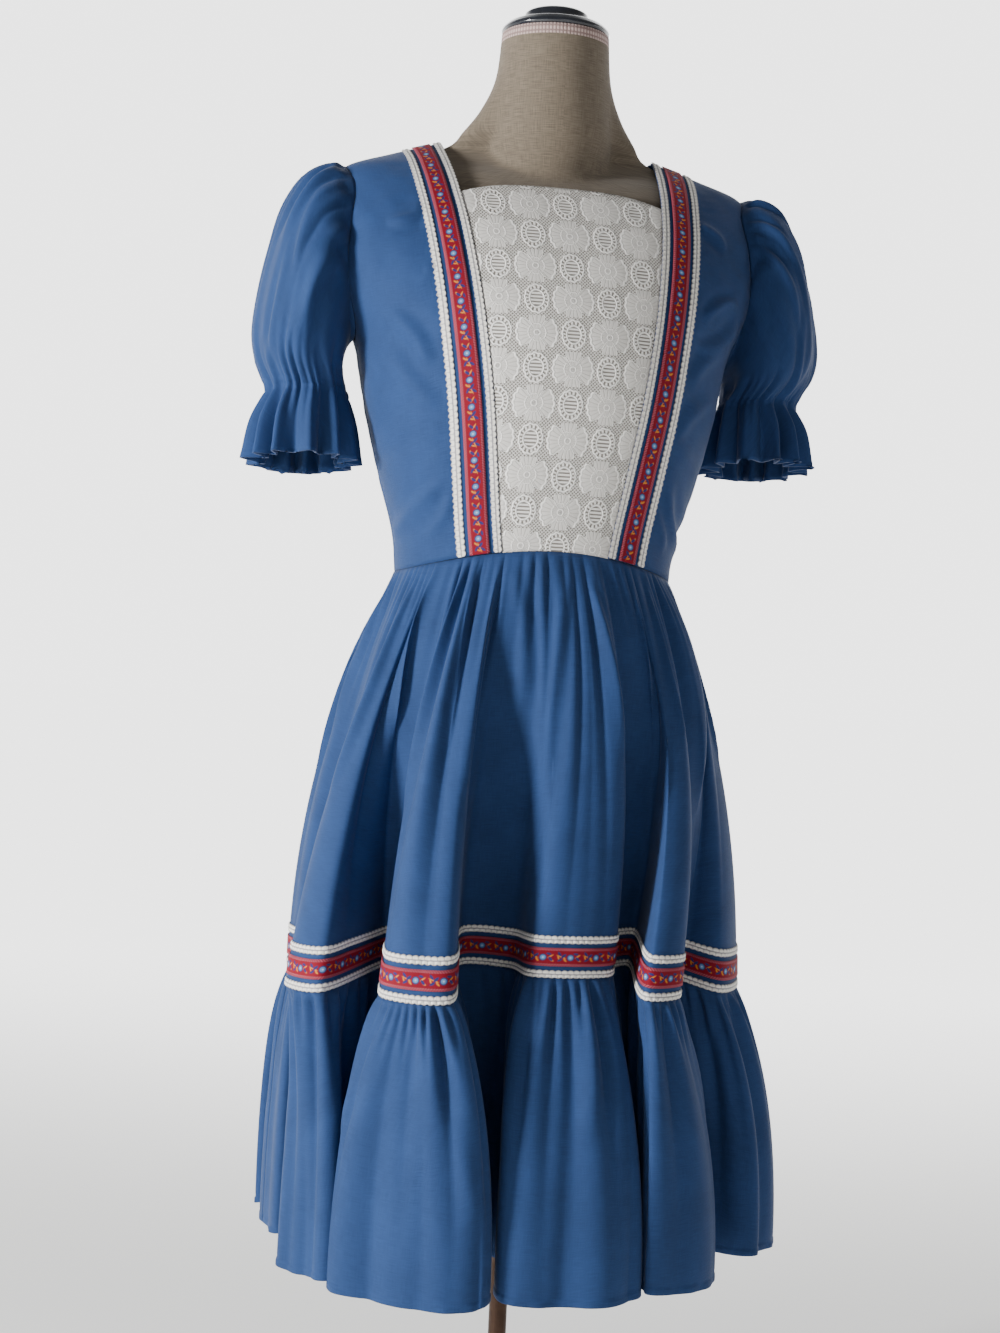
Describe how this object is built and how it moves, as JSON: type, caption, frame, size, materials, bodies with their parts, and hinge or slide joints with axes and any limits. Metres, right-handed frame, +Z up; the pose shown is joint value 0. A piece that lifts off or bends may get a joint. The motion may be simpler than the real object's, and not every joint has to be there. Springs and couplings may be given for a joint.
{
  "type": "square dance dress on a dress form",
  "caption": "Knee-length puff-sleeved square dance dress with a lace bib, flower ribbon trims and a gathered flounce, on a limbless linen dress form and stand",
  "frame": {"origin": "on the floor, at the centre of the underside of the stand's round base", "axes": "+Z up, the front of the dress faces -Y, +X is the wearer's left"},
  "size_m": [0.541, 0.4778, 1.4683],
  "materials": {
    "blue_cloth": "plain-weave cotton blend, soft sheen",
    "white_lace": "allover lace on a white lining",
    "white_braid": "looped braid",
    "flower_ribbon": "jacquard woven flowers on red",
    "linen": "smooth plain linen",
    "black_cap": "glossy black",
    "bronze_metal": "dark bronze, satin"
  },
  "bodies": {
    "root": {"side_front_left": "blue_cloth", "side_front_right": "blue_cloth", "back_left": "blue_cloth", "back_right": "blue_cloth", "back_placket": "blue_cloth", "sleeve_left": "blue_cloth", "sleeve_right": "blue_cloth", "upper_tier_front": "blue_cloth", "upper_tier_back": "blue_cloth", "flounce_front": "blue_cloth", "flounce_back": "blue_cloth", "inner_braid_left": "white_braid", "inner_braid_right": "white_braid", "outer_braid_left": "white_braid", "outer_braid_right": "white_braid", "upper_band_braid_front": "white_braid", "upper_band_braid_back": "white_braid", "lower_band_braid_front": "white_braid", "lower_band_braid_back": "white_braid", "ribbon_left": "flower_ribbon", "ribbon_right": "flower_ribbon", "band_ribbon_front": "flower_ribbon", "band_ribbon_back": "flower_ribbon", "bib": "white_lace", "form_torso": "linen", "neck_cap": "black_cap", "pole": "bronze_metal", "base": "bronze_metal"}
  },
  "joints": []
}
